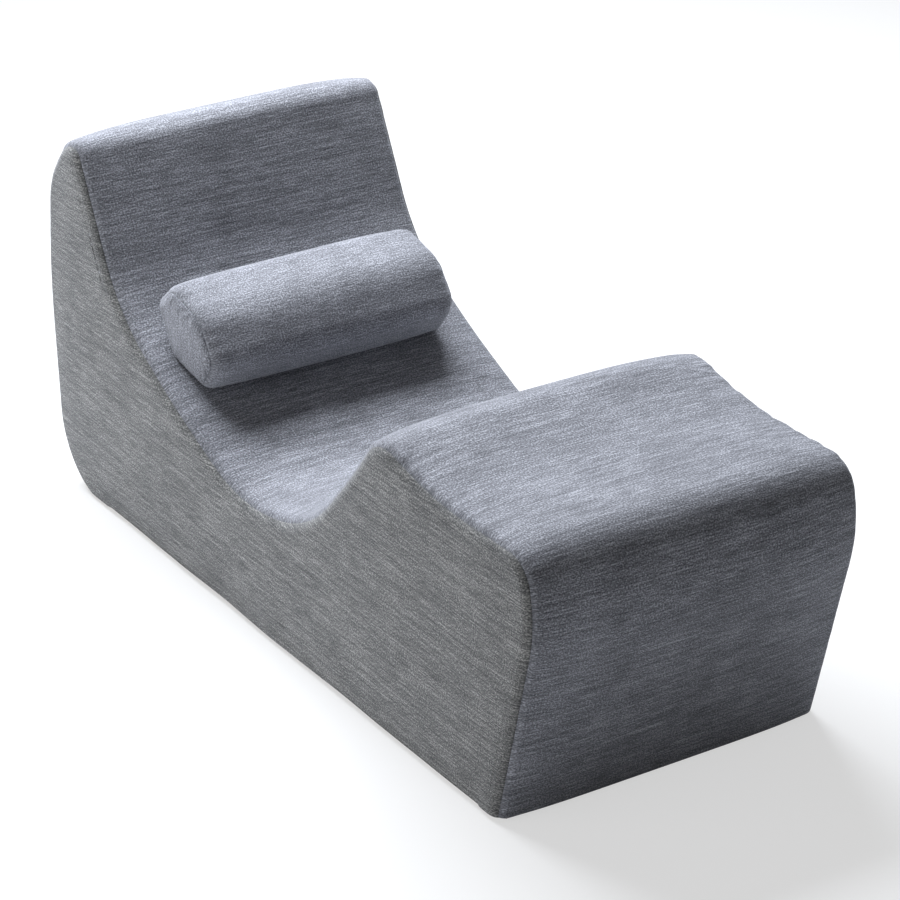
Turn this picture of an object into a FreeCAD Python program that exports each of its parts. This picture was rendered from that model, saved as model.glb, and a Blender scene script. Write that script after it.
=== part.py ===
import FreeCAD, Part
import math
import os
import Sketcher
from FreeCAD import Vector, Placement, Rotation

# Upholstered chaise longue on a plywood frame, with a loose bolster.
# Millimetres. X runs across the chaise, -Y is the foot end, +Y the head end, +Z is up.
# The origin lies on the floor, below the middle of the chaise.

doc = FreeCAD.newDocument("chaise_longue")
sheet = doc.addObject("Spreadsheet::Sheet", "sizes")

# Driving sizes: name, value, what it is
SIZES = [
    ("width", 640, "over the side panels"),
    ("crown", 14, "rise of the upholstery from its side edges to its middle"),
    ("crown_power", 5, "how late towards the edge the crown falls away"),
    ("edge_radius", 24, "rounding between the top strip and a side panel"),
    ("seam_inset", 8, "side seam behind the face of the side panel"),
    ("cover_thickness", 1.5, "upholstery fabric"),
    ("wadding_thickness", 7, "polyester wadding"),
    ("deck_foam", 70, "foam over the webbing"),
    ("front_foam", 45, "foam on the front apron"),
    ("rear_foam", 40, "foam behind the back"),
    ("pad_thickness", 20, "foam outside a side rib"),
    ("rib_thickness", 18, "plywood side rib"),
    ("strap_thickness", 2, "elastic webbing"),
    ("strap_width", 50, "elastic webbing"),
    ("strap_pitch", 82, "from one strap to the next"),
    ("strap_overlap", 16, "webbing lying on the edge of a rib"),
    ("glide_height", 5, "floor to bottom cloth"),
    ("glide_diameter", 36, "plastic floor glide"),
    ("glide_edge", 45, "middle of a glide from the long edge of the board"),
    ("glide_end", 70, "middle of a glide from the short edge of the board"),
    ("nail_diameter", 3, "nail of a glide"),
    ("nail_length", 16, "nail of a glide"),
    ("nail_depth", 3, "nail inside its glide"),
    ("cloth_thickness", 0.6, "non-woven bottom cloth"),
    ("board_thickness", 15, "base board"),
    ("board_end", 1440, "rear end of the base board"),
    ("rail_thickness", 22, "rails between the ribs"),
    ("rail_height", 60, "rails between the ribs"),
    ("block_size", 40, "glued corner block"),
    ("screw_diameter", 4.5, "frame screw"),
    ("screw_length", 55, "frame screw"),
    ("screw_head", 9, "diameter of a screw head"),
    ("screw_head_height", 3.5, "height of a screw head"),
    ("bolster_length", 500, "over its end panels"),
    ("bolster_offset", -12, "middle of the bolster from the middle of the chaise"),
    ("bolster_crown", 7, "how far the bolster draws in towards its ends"),
    ("bolster_edge", 26, "rounding of the bolster at its ends"),
    ("bolster_cover", 1.5, "fabric of the bolster"),
    ("bolster_seam", 10, "end seam of the bolster behind its end"),
    ("rest_gap", 0.4, "bolster above the chaise"),
    ("zip_length", 360, "zip of the bolster cover"),
    ("tape_width", 11, "one zip tape"),
    ("tape_thickness", 0.9, "zip tape"),
    ("coil_width", 2.6, "coil on one tape"),
    ("coil_height", 1.6, "coil above its tape"),
    ("slider_length", 11, "zip slider"),
    ("slider_plate", 1.2, "top plate of the slider"),
    ("slider_wall", 1.0, "side wall of the slider"),
    ("zip_gap", 0.35, "running gap of the slider"),
    ("pin_diameter", 2.4, "pin that holds the pull"),
    ("eye_wall", 1.2, "wall round the pin in the pull"),
    ("pull_length", 24, "zip pull"),
    ("pull_width", 5, "zip pull"),
    ("pull_thickness", 1.4, "zip pull"),
]
# Corners of the lounging outline before rounding: name, y, z, radius.
# y starts at the top front corner of the leg rest; the list runs up the rear and forwards.
CORNERS = [
    ("rear_foot", 1560, 0, 160),
    ("rear_bulge", 1587, 400, 1200),
    ("rear_shoulder", 1569, 607, 175),
    ("head_rear", 1496, 698, 80),
    ("head_front", 1430, 708, 43),
    ("lumbar", 1292, 434, 297),
    ("seat_rear", 1118, 335, 1500),
    ("seat_low", 890, 239, 305),
    ("calf", 677, 276, 302),
    ("thigh", 533, 438, 1350),
    ("knee_peak", 452, 547, 90),
    ("leg_top", 269, 505, 670),
    ("toe_top", 5, 510, 75),
    ("toe_bulge", -21, 380, 255),
    ("toe_foot", 72, 0, 5),
]
# Corners of the bolster's section: name, y, z, radius, on the same axes
BOLSTER_CORNERS = [
    ("bolster_heel", 1199, 350, 20),
    ("bolster_back", 1263, 454, 22),
    ("bolster_top", 1199, 510, 38),
    ("bolster_brow", 1092, 455, 120),
    ("bolster_nose", 1042, 387, 34),
    ("bolster_toe", 1104, 334, 30),
]
# Rails between the ribs: name, y and z of the middle
RAILS = [
    ("head_rail", 1485, 575),
    ("back_rail", 1420, 430),
    ("lumbar_rail", 1230, 240),
    ("seat_rail", 890, 92),
    ("thigh_rail", 575, 215),
    ("leg_rest_rail", 420, 385),
    ("toe_rail", 90, 355),
]
# Rails that stand on the base board: name, y of the middle
BOARD_RAILS = [
    ("rear_rail", 1400),
    ("front_rail", 160),
]
# Front edges of the glued corner blocks
BLOCK_PLACES = [
    ("front_block", 190),
    ("middle_block", 770),
    ("rear_block", 1330),
]
# Lines where one foam slab meets the next
SPLITS = [
    ("apron_split", 150, "how far back the front apron reaches"),
    ("front_split", 400, "height where the front apron meets the leg rest"),
    ("knee_split", 610, "leg rest to seat"),
    ("lumbar_split", 1150, "seat to back"),
    ("rear_split", 480, "height where the rear foam meets the back"),
]

rows = [(name, value, note) for name, value, note in SIZES + SPLITS]
rows += [(name, y, "front edge of a corner block") for name, y in BLOCK_PLACES]
for name, y, z, radius in CORNERS + BOLSTER_CORNERS:
    rows += [(name + "_y", y, "corner"), (name + "_z", z, "corner"), (name + "_round", radius, "corner radius")]
for name, y, z in RAILS:
    rows += [(name + "_y", y, "middle of the rail"), (name + "_z", z, "middle of the rail")]
for name, y in BOARD_RAILS:
    rows.append((name + "_y", y, "middle of the rail"))
for row, (name, value, note) in enumerate(rows, start=1):
    sheet.set("A%d" % row, name)
    sheet.set("B%d" % row, str(value))
    sheet.set("C%d" % row, note)
    sheet.setAlias("B%d" % row, name)
doc.recompute()
size = {name: float(sheet.get(name)) for name, _, _ in rows}

NODES = []


def node(obj, label):
    """Name a finished sub-part and remember it for the export."""
    obj.Label = label
    NODES.append(obj)
    return obj


# Outlines made of lines and tangent arcs

# A corner's arc takes at most this share of the shorter line beside it
ARC_SHARE = 0.485
LEAST_RADIUS = 4


def offset_corners(corners, steps):
    """Corners moved inwards, with one step for the edge that leaves each corner.

    An edge whose step is None is left out, and its neighbours run on until they meet.
    """
    count = len(corners)
    lines = []
    for k in range(count):
        if steps[k] is None:
            continue
        y0, z0, radius = corners[k]
        y1, z1, _ = corners[(k + 1) % count]
        length = math.hypot(y1 - y0, z1 - z0)
        ty, tz = (y1 - y0) / length, (z1 - z0) / length
        lines.append((y0 - tz * steps[k], z0 + ty * steps[k], ty, tz, steps[k], radius))
    moved = []
    for k in range(len(lines)):
        ya, za, tya, tza, step_a, _ = lines[k - 1]
        yb, zb, tyb, tzb, step_b, radius = lines[k]
        cross = tya * tzb - tza * tyb
        along = ((yb - ya) * tzb - (zb - za) * tyb) / cross
        step = (step_a + step_b) / 2
        radius = radius - step if cross > 0 else radius + step
        moved.append((ya + tya * along, za + tza * along, max(radius, LEAST_RADIUS)))
    return moved


def rounded_edges(corners, x):
    """Lines and tangent arcs round the corners, in the plane at x."""
    count = len(corners)
    arcs = []
    for k in range(count):
        b = Vector(x, corners[k][0], corners[k][1])
        a = Vector(x, corners[k - 1][0], corners[k - 1][1])
        c = Vector(x, corners[(k + 1) % count][0], corners[(k + 1) % count][1])
        towards_a = (a - b).normalize()
        towards_c = (c - b).normalize()
        half = towards_a.getAngle(towards_c) / 2
        reach = min(corners[k][2] / math.tan(half), ARC_SHARE * min((a - b).Length, (c - b).Length))
        radius = reach * math.tan(half)
        bisector = (towards_a + towards_c).normalize()
        middle = b + bisector * (radius / math.sin(half) - radius)
        arcs.append((b + towards_a * reach, middle, b + towards_c * reach))
    edges = []
    for k in range(count):
        edges.append(Part.Arc(*arcs[k]))
        edges.append(Part.LineSegment(arcs[k][2], arcs[(k + 1) % count][0]))
    return edges


def wire_at(corners, x):
    return Part.Wire([edge.toShape() for edge in rounded_edges(corners, x)])


def prism(corners, x0, x1):
    return Part.Face(wire_at(corners, x0)).extrude(Vector(x1 - x0, 0, 0))


def read_corners(table):
    return [(size[name + "_y"], size[name + "_z"], size[name + "_round"]) for name, _, _, _ in table]


# The lounging outline, moved so that its length is centred on the origin
outline = read_corners(CORNERS)
box = wire_at(outline, 0).BoundBox
y_shift = -(box.YMin + box.YMax) / 2
outline = [(y + y_shift, z, radius) for y, z, radius in outline]
corner_at = {row[0]: k for k, row in enumerate(CORNERS)}
half_width = size["width"] / 2
cloth_z = size["glide_height"]
board_z = cloth_z + size["cloth_thickness"]
frame_z = board_z + size["board_thickness"]
foam_gap = size["cover_thickness"] + size["wadding_thickness"]


def inset_outline(step):
    """Outline moved inwards everywhere but at its flat bottom."""
    steps = [step] * len(outline)
    steps[-1] = 0
    return offset_corners(outline, steps)


def deck_outline(extra):
    """Inner side of the foam: deeper under the deck than at the front and the rear."""
    steps = []
    for name, _, _, _ in CORNERS:
        foam = size["deck_foam"]
        if name in ("rear_foot", "rear_bulge", "rear_shoulder", "head_rear"):
            foam = size["rear_foam"]
        if name in ("toe_top", "toe_bulge"):
            foam = size["front_foam"]
        steps.append(foam_gap + foam + extra)
    steps[corner_at["head_rear"]] = None
    steps[corner_at["toe_foot"]] = frame_z
    return offset_corners(outline, steps)


# Where the sections of a crowned form lie: shares of its straight half, then degrees round its edge
CROWN_PLACES = (0, 0.4, 0.68, 0.86, 1)
EDGE_ANGLES = (30, 60, 90)


def form_sections(half, edge, crown, power, gap):
    """x and inward step of each section, from one side to the other."""
    straight = half - edge
    side = [(straight * share, 0) for share in CROWN_PLACES]
    for angle in EDGE_ANGLES:
        turn = math.radians(angle)
        side.append((straight + edge * math.sin(turn), edge * (1 - math.cos(turn))))
    side = [(x, gap + rounding + crown * (x / half) ** power) for x, rounding in side]
    return [(-x, step) for x, step in reversed(side[1:])] + side


def chaise_form(gap):
    """Crowned outer form of the chaise, moved inwards by a gap."""
    half = half_width - gap
    edge = size["edge_radius"] - gap
    wires = [wire_at(inset_outline(step), x)
             for x, step in form_sections(half, edge, size["crown"], size["crown_power"], gap)]
    return Part.makeLoft(wires, True, False)


def slab(y0, y1, z0, z1):
    """Box over the full width, wide enough to split any layer."""
    reach = size["width"]
    return Part.makeBox(2 * reach, y1 - y0, z1 - z0, Vector(-reach, y0, z0))


def span(x0, x1):
    """Box between two planes across the chaise, past every other face."""
    reach = 2 * size["board_end"]
    return Part.makeBox(x1 - x0, 2 * reach, 2 * reach, Vector(x0, -reach, -reach))


def feature(shape, label):
    """Sub-part whose curved shape no sketch or primitive gives."""
    obj = doc.addObject("Part::Feature", label)
    obj.Shape = shape
    obj.Placement = Placement(Vector(0, 0, 0), Rotation())
    return node(obj, label)


def origin_plane(body, role):
    return next(item for item in body.Origin.OriginFeatures if item.Role == role)


def sketch_on(body, name, edges):
    """Closed sketch of lines and arcs in the body's YZ plane."""
    sketch = body.newObject("Sketcher::SketchObject", name)
    sketch.AttachmentSupport = [(origin_plane(body, "YZ_Plane"), "")]
    sketch.MapMode = "FlatFace"
    sketch.addGeometry(edges, False)
    for k in range(len(edges)):
        sketch.addConstraint(Sketcher.Constraint("Block", k))
    return sketch


def flat_edges(corners):
    """The rounded outline as sketch geometry: y becomes the sketch's x, z its y."""
    edges = []
    for edge in rounded_edges(corners, 0):
        a, b = edge.StartPoint, edge.EndPoint
        if isinstance(edge, Part.LineSegment):
            edges.append(Part.LineSegment(Vector(a.y, a.z, 0), Vector(b.y, b.z, 0)))
        else:
            m = edge.value((edge.FirstParameter + edge.LastParameter) / 2)
            edges.append(Part.Arc(Vector(a.y, a.z, 0), Vector(m.y, m.z, 0), Vector(b.y, b.z, 0)))
    return edges


def sheet_body(label, corners, thickness, x):
    """Flat sheet cut to an outline, its inner face at x, as a padded body."""
    body = doc.addObject("PartDesign::Body", label)
    outline_sketch = sketch_on(body, label + "_outline", flat_edges(corners))
    pad = body.newObject("PartDesign::Pad", label + "_pad")
    pad.Profile = outline_sketch
    pad.setExpression("Length", "sizes." + thickness)
    body.Tip = pad
    body.Placement = Placement(Vector(x, 0, 0), Rotation())
    return body


# Frame

rib_outer = half_width - foam_gap - size["pad_thickness"]
rib_inner = rib_outer - size["rib_thickness"]
rail_length = 2 * rib_inner


def rail_places():
    """Name, y and z of the middle of every rail."""
    places = [(name, size[name + "_y"] + y_shift, size[name + "_z"]) for name, _, _ in RAILS]
    on_board = frame_z + size["rail_height"] / 2
    return places + [(name, size[name + "_y"] + y_shift, on_board) for name, _ in BOARD_RAILS]


def screw_places():
    """y and z of every screw through a rib, two to a rail."""
    spread = size["rail_height"] / 4
    return [(y, z + side * spread) for _, y, z in rail_places() for side in (-1, 1)]


def circles_on(body, name, diameter, x):
    """Sketch of one circle for each screw, in a plane across the body at x."""
    circles = [Part.Circle(Vector(y, z, 0), Vector(0, 0, 1), size[diameter] / 2) for y, z in screw_places()]
    sketch = sketch_on(body, name, circles)
    sketch.AttachmentOffset = Placement(Vector(0, 0, x), Rotation())
    return sketch


def drilled(body, name, diameter, depth, x, backwards):
    """Blind holes at every screw, which must take material away."""
    doc.recompute()
    before = body.Shape.Volume
    pocket = body.newObject("PartDesign::Pocket", name)
    pocket.Profile = circles_on(body, name + "_sketch", diameter, x)
    pocket.Length = depth
    pocket.Reversed = backwards
    body.Tip = pocket
    doc.recompute()
    if body.Shape.Volume >= before:
        raise RuntimeError(name + " removes nothing")


def side_frame(label, side):
    """Plywood rib with a stepped hole for each frame screw."""
    x = rib_inner if side > 0 else -rib_outer
    body = sheet_body(label, deck_outline(size["strap_thickness"]), "rib_thickness", x)
    outer = size["rib_thickness"] if side > 0 else 0
    drilled(body, label + "_heads", "screw_head", size["screw_head_height"], outer, side < 0)
    drilled(body, label + "_shanks", "screw_diameter", size["rib_thickness"], outer, side < 0)
    return node(body, label)


def bound_box(name, length, width, height, place):
    """Box whose sides are bound to cells or sums of cells."""
    box = doc.addObject("Part::Box", name)
    box.setExpression("Length", length)
    box.setExpression("Width", width)
    box.setExpression("Height", height)
    box.Placement = place
    return box


def bound_cylinder(name, diameter, height, place):
    cylinder = doc.addObject("Part::Cylinder", name)
    cylinder.setExpression("Radius", diameter + " / 2")
    cylinder.setExpression("Height", height)
    cylinder.Placement = place
    return cylinder


def cut(name, base, tool):
    result = doc.addObject("Part::Cut", name)
    result.Base = base
    result.Tool = tool
    return result


def gathered(name, items):
    """Separate solids kept together in one object."""
    group = doc.addObject("Part::Compound", name)
    group.Links = items
    return group


ALONG_X = Rotation(Vector(0, 1, 0), 90)
AGAINST_X = Rotation(Vector(0, 1, 0), -90)
RAIL_LENGTH = ("sizes.width - 2 * (sizes.cover_thickness + sizes.wadding_thickness"
               " + sizes.pad_thickness + sizes.rib_thickness)")


def rail(label, y, z):
    """Wooden rail between the ribs, drilled at both ends."""
    corner = Vector(-rib_inner, y - size["rail_thickness"] / 2, z - size["rail_height"] / 2)
    blank = bound_box(label + "_blank", RAIL_LENGTH, "sizes.rail_thickness", "sizes.rail_height",
                      Placement(corner, Rotation()))
    spread = size["rail_height"] / 4
    holes = []
    for side in (-1, 1):
        for dz in (-spread, spread):
            turn = AGAINST_X if side > 0 else ALONG_X
            holes.append(bound_cylinder(label + "_hole", "sizes.screw_diameter",
                                        "sizes.screw_length - sizes.rib_thickness",
                                        Placement(Vector(side * rib_inner, y, z + dz), turn)))
    return node(cut(label, blank, gathered(label + "_holes", holes)), label)


def frame_screws():
    """Countersunk screws through both ribs into the rails."""
    screws = []
    for side in (-1, 1):
        for y, z in screw_places():
            turn = AGAINST_X if side > 0 else ALONG_X
            outer = Vector(side * rib_outer, y, z)
            deep = Vector(side * (rib_outer - size["screw_head_height"]), y, z)
            head = bound_cylinder("screw_head", "sizes.screw_head", "sizes.screw_head_height",
                                  Placement(outer, turn))
            shank = bound_cylinder("screw_shank", "sizes.screw_diameter",
                                   "sizes.screw_length - sizes.screw_head_height", Placement(deep, turn))
            screw = doc.addObject("Part::Fuse", "frame_screw")
            screw.Base = head
            screw.Tool = shank
            screws.append(screw)
    return node(gathered("frame_screws", screws), "frame_screws")


def corner_blocks():
    """Square glued blocks in the angle between the ribs and the board."""
    blocks = []
    for side in (-1, 1):
        for name, y in BLOCK_PLACES:
            x = rib_inner - size["block_size"] if side > 0 else -rib_inner
            corner = Vector(x, size[name] + y_shift, frame_z)
            blocks.append(bound_box("corner_block", "sizes.block_size", "sizes.block_size", "sizes.block_size",
                                    Placement(corner, Rotation())))
    return node(gathered("corner_blocks", blocks), "corner_blocks")


# Webbing

def walk(first, last):
    """Length of the deck outline between two of its corners, and the point and slope at any distance."""
    corners = deck_outline(0)
    names = [name for name, _, _, _ in CORNERS if name != "head_rear"]
    run = corners[names.index(first):names.index(last) + 1]
    legs = [(run[k], run[k + 1]) for k in range(len(run) - 1)]
    lengths = [math.hypot(b[0] - a[0], b[1] - a[1]) for a, b in legs]

    def at(distance):
        for (a, b), length in zip(legs, lengths):
            if distance <= length or (a, b) == legs[-1]:
                share = distance / length
                return (a[0] + (b[0] - a[0]) * share, a[1] + (b[1] - a[1]) * share,
                        math.degrees(math.atan2(b[1] - a[1], b[0] - a[0])))
            distance -= length
    return sum(lengths), at


def straps(first, last, layer):
    """Straps across the ribs, evenly spaced along one stretch of the deck."""
    length, at = walk(first, last)
    count = max(1, int((length - size["strap_width"]) // size["strap_pitch"]) + 1)
    start = (length - (count - 1) * size["strap_pitch"]) / 2
    width = size["strap_width"]
    cuts = []
    for k in range(count):
        y, z, angle = at(start + k * size["strap_pitch"])
        window = Part.makeBox(2 * rib_outer, width, width, Vector(-rib_outer, -width / 2, -width / 2))
        window.Placement = Placement(Vector(0, y, z), Rotation(Vector(1, 0, 0), angle))
        cuts.append(layer.common(window))
    return [solid for piece in cuts for solid in piece.Solids]


def webbing(label, stretches):
    reach = rib_inner + size["strap_overlap"]
    layer = prism(deck_outline(0), -reach, reach).cut(
        prism(deck_outline(size["strap_thickness"]), -2 * reach, 2 * reach))
    solids = [solid for first, last in stretches for solid in straps(first, last, layer)]
    return feature(Part.makeCompound(solids), label)


# Foam, wadding and covers

def foam_slabs(core):
    """The foam layer over the deck, split into the slabs that are glued together."""
    ring = core.cut(prism(deck_outline(0), -size["width"], size["width"]))
    far = 2 * size["board_end"]
    knee, lumbar = size["knee_split"] + y_shift, size["lumbar_split"] + y_shift
    apron = slab(-far, size["apron_split"] + y_shift, frame_z, size["front_split"])
    behind = size["rear_rail_y"] + size["rail_thickness"] / 2 + y_shift
    rear = slab(behind, far, frame_z, size["rear_split"])
    feature(ring.common(apron), "foam_front")
    feature(ring.common(slab(-far, knee, frame_z, far)).cut(apron), "foam_leg_rest")
    feature(ring.common(slab(knee, lumbar, frame_z, far)), "foam_seat")
    feature(ring.common(slab(lumbar, far, frame_z + size["rail_height"], far)).cut(rear), "foam_back")
    feature(ring.common(rear), "foam_rear")


def side_pad(label, side):
    """Foam sheet glued to the outer face of a rib."""
    x = rib_outer if side > 0 else -rib_outer - size["pad_thickness"]
    return node(sheet_body(label, deck_outline(0), "pad_thickness", x), label)


def covers(form, lining, core):
    """Wadding, the sewn cover in three panels and the cloth below."""
    far = 2 * size["board_end"]
    shell = form.cut(lining).common(slab(-far, far, cloth_z, far))
    seam = half_width - size["seam_inset"]
    feature(shell.common(span(-seam, seam)), "cover_top_panel")
    feature(shell.common(span(-far, -seam)), "cover_side_left")
    feature(shell.common(span(seam, far)), "cover_side_right")
    feature(lining.cut(core).common(slab(-far, far, board_z, far)), "wadding_wrap")


def board_and_cloth(lining, core):
    """Board shaped to the foam's plan, nailed glides below it and the cloth between."""
    far = 2 * size["board_end"]
    end = size["board_end"] + y_shift
    glides, nails, holes = [], [], []
    front = size["toe_foot_y"] + y_shift + foam_gap
    rows = [front + size["glide_end"], (front + end) / 2, end - size["glide_end"]]
    reach = half_width - foam_gap - size["glide_edge"]
    tip = size["glide_height"] - size["nail_depth"]
    for x in (-reach, reach):
        for y in rows:
            disc = bound_cylinder("glide_disc", "sizes.glide_diameter", "sizes.glide_height",
                                  Placement(Vector(x, y, 0), Rotation()))
            socket = bound_cylinder("glide_socket", "sizes.nail_diameter", "sizes.nail_depth",
                                    Placement(Vector(x, y, tip), Rotation()))
            glides.append(cut("floor_glide", disc, socket))
            nails.append(bound_cylinder("glide_nail", "sizes.nail_diameter", "sizes.nail_length",
                                        Placement(Vector(x, y, tip), Rotation())))
            holes.append(Part.makeCylinder(size["nail_diameter"] / 2, size["nail_length"], Vector(x, y, tip)))
    node(gathered("floor_glides", glides), "floor_glides")
    node(gathered("glide_nails", nails), "glide_nails")
    holes = Part.makeCompound(holes)
    feature(core.common(slab(-far, end, board_z, frame_z)).cut(holes), "base_board")
    feature(lining.common(slab(-far, far, cloth_z, board_z)).cut(holes), "bottom_cloth")


# Bolster

def bolster_outline(step):
    corners = [(y + y_shift, z, radius) for y, z, radius in read_corners(BOLSTER_CORNERS)]
    return offset_corners(corners, [step] * len(corners))


def bolster_form(gap):
    """Stuffed sleeve that draws in and rounds over towards its ends."""
    half = size["bolster_length"] / 2 - gap
    edge = size["bolster_edge"] - gap
    sections = form_sections(half, edge, size["bolster_crown"], size["crown_power"], gap)
    return Part.makeLoft([wire_at(bolster_outline(step), x + size["bolster_offset"]) for x, step in sections],
                         True, False)


# Out of the bolster's surface, the zip lies this deep, so that the drawn-in ends still cover it
zip_drop = size["bolster_crown"] * (size["zip_length"] / size["bolster_length"]) ** size["crown_power"]
tape_top = -(size["bolster_cover"] + zip_drop)
coil_top = tape_top + size["coil_height"]
slider_width = 2 * (size["coil_width"] + size["zip_gap"] + size["slider_wall"])
slot_width = slider_width + 4 * size["zip_gap"]
plate_top = coil_top + size["zip_gap"] + size["slider_plate"]
eye_radius = size["pin_diameter"] / 2 + size["zip_gap"] + size["eye_wall"]
pin_z = plate_top + eye_radius + size["zip_gap"]
slider_x = size["zip_length"] / 2 - 2 * size["slider_length"]


def zip_place():
    """Middle of the zip: X along it, Z out of the bolster's rear upper face."""
    corners = bolster_outline(0)
    names = [name for name, _, _, _ in BOLSTER_CORNERS]
    arcs = rounded_edges(corners, size["bolster_offset"])
    straight = arcs[2 * names.index("bolster_back") + 1]
    a, b = straight.StartPoint, straight.EndPoint
    along = b - a
    turn = math.degrees(math.atan2(along.z, along.y)) - 180
    return Placement((a + b) / 2, Rotation(Vector(1, 0, 0), turn))


ZIP = zip_place()


def zip_box(length, width, z0, z1, x=0, y=0):
    """Box on the zip's own axes, centred on x and y."""
    box = Part.makeBox(length, width, z1 - z0, Vector(x - length / 2, y - width / 2, z0))
    box.Placement = ZIP.multiply(box.Placement)
    return box


def zip_cylinder(radius, length, x, z, y=0):
    """Cylinder across the zip."""
    cylinder = Part.makeCylinder(radius, length, Vector(x, y - length / 2, z), Vector(0, 1, 0))
    cylinder.Placement = ZIP.multiply(cylinder.Placement)
    return cylinder


def bolster(rest, rest_inner):
    """Foam core in a sewn sleeve with two end panels and a zip, flattened where it lies."""
    above = size["bolster_edge"]
    recess = zip_box(size["zip_length"], 2 * size["tape_width"], tape_top - size["tape_thickness"], above)
    slot = zip_box(size["zip_length"], slot_width, tape_top, above)
    outer = bolster_form(0).cut(rest)
    inner = bolster_form(size["bolster_cover"]).cut(rest_inner)
    shell = outer.cut(inner)
    far = 2 * size["board_end"]
    seam = size["bolster_length"] / 2 - size["bolster_seam"]
    left, right = size["bolster_offset"] - seam, size["bolster_offset"] + seam
    feature(shell.common(span(left, right)).cut(slot), "bolster_wrap")
    feature(shell.common(span(-far, left)), "bolster_end_left")
    feature(shell.common(span(right, far)), "bolster_end_right")
    feature(inner.cut(recess), "bolster_core")


def zip_tapes():
    """Two tapes with a coil each, meeting in the middle."""
    halves = []
    for side in (-1, 1):
        tape = zip_box(size["zip_length"], size["tape_width"], tape_top - size["tape_thickness"], tape_top,
                       0, side * size["tape_width"] / 2)
        coil = zip_box(size["zip_length"], size["coil_width"], tape_top, coil_top,
                       0, side * size["coil_width"] / 2)
        halves.append(tape.fuse(coil).removeSplitter())
    return feature(Part.makeCompound([solid for half in halves for solid in half.Solids]), "bolster_zip_tapes")


def zip_slider():
    """Channel over the coils with two ears and a pin on top."""
    length = size["slider_length"]
    top = coil_top + size["zip_gap"]
    body = zip_box(length, slider_width, tape_top + size["zip_gap"], plate_top, slider_x)
    body = body.cut(zip_box(2 * length, slider_width - 2 * size["slider_wall"], tape_top, top, slider_x))
    ear = size["pin_diameter"] + 2 * size["eye_wall"]
    spread = size["pull_width"] / 2 + size["zip_gap"] + size["slider_wall"] / 2
    for side in (-1, 1):
        body = body.fuse(zip_box(ear, size["slider_wall"], plate_top, pin_z + ear / 2, slider_x, side * spread))
    body = body.fuse(zip_cylinder(size["pin_diameter"] / 2, 2 * spread, slider_x, pin_z))
    return feature(body.removeSplitter(), "bolster_zip_slider")


def zip_pull():
    """Tab with an eye round the slider's pin."""
    width = size["pull_width"]
    half = size["pull_thickness"] / 2
    eye = zip_cylinder(eye_radius, width, slider_x, pin_z)
    length = size["pull_length"]
    tab = zip_box(length, width, pin_z - half, pin_z + half, slider_x - length / 2)
    bore = zip_cylinder(size["pin_diameter"] / 2 + size["zip_gap"], 2 * width, slider_x, pin_z)
    return feature(eye.fuse(tab).cut(bore).removeSplitter(), "bolster_zip_pull")


def build():
    side_frame("side_frame_left", -1)
    side_frame("side_frame_right", 1)
    for name, y, z in rail_places():
        rail(name, y, z)
    frame_screws()
    corner_blocks()
    webbing("webbing_back", [("head_front", "lumbar")])
    webbing("webbing_seat", [("lumbar", "calf")])
    webbing("webbing_leg_rest", [("calf", "knee_peak"), ("knee_peak", "toe_top")])
    form = chaise_form(0)
    lining = chaise_form(size["cover_thickness"])
    core = chaise_form(foam_gap)
    foam_slabs(core)
    side_pad("side_pad_left", -1)
    side_pad("side_pad_right", 1)
    covers(form, lining, core)
    board_and_cloth(lining, core)
    bolster(chaise_form(-size["rest_gap"]), chaise_form(-size["rest_gap"] - size["bolster_cover"]))
    zip_tapes()
    zip_slider()
    zip_pull()


def check():
    """Stop before writing when an object failed or a shape is empty or broken."""
    for obj in doc.Objects:
        if "Invalid" in obj.State or "Error" in obj.State:
            raise RuntimeError(obj.Label + " failed to recompute")
    for obj in NODES:
        if obj.Shape.isNull() or not obj.Shape.isValid() or not obj.Shape.Solids:
            raise RuntimeError(obj.Label + " has no valid solid")


build()
doc.recompute()
check()
os.makedirs("parts", exist_ok=True)
for obj in NODES:
    obj.Shape.exportStep("parts/" + obj.Label + ".step")
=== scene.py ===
import math

import bpy
import bmesh
import numpy as np
from mathutils import Matrix, Vector


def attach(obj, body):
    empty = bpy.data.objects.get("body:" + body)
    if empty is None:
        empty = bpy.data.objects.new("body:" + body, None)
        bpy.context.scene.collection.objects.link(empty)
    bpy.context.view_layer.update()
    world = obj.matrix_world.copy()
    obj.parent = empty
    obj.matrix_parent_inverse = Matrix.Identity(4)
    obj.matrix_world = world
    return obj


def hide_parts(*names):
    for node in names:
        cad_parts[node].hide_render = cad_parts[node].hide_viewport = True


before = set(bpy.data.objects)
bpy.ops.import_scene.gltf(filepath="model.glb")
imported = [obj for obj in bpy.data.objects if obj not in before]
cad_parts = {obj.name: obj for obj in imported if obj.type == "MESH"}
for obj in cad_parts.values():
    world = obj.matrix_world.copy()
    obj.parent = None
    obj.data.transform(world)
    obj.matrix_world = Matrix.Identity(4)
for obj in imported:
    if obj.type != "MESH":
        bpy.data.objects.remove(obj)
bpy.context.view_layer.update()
print("frame loaded, CAD nodes:", len(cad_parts))


# Camera, at the photograph's viewing angle

cameraSetup = {
    "place": (-2.9414, -4.5581, 2.9507),
    "azimuth": -33.286,     # degrees round from the foot end
    "elevation": 26.202,
    "roll": 0.270,
    "lens": 140.0,
}


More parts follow.
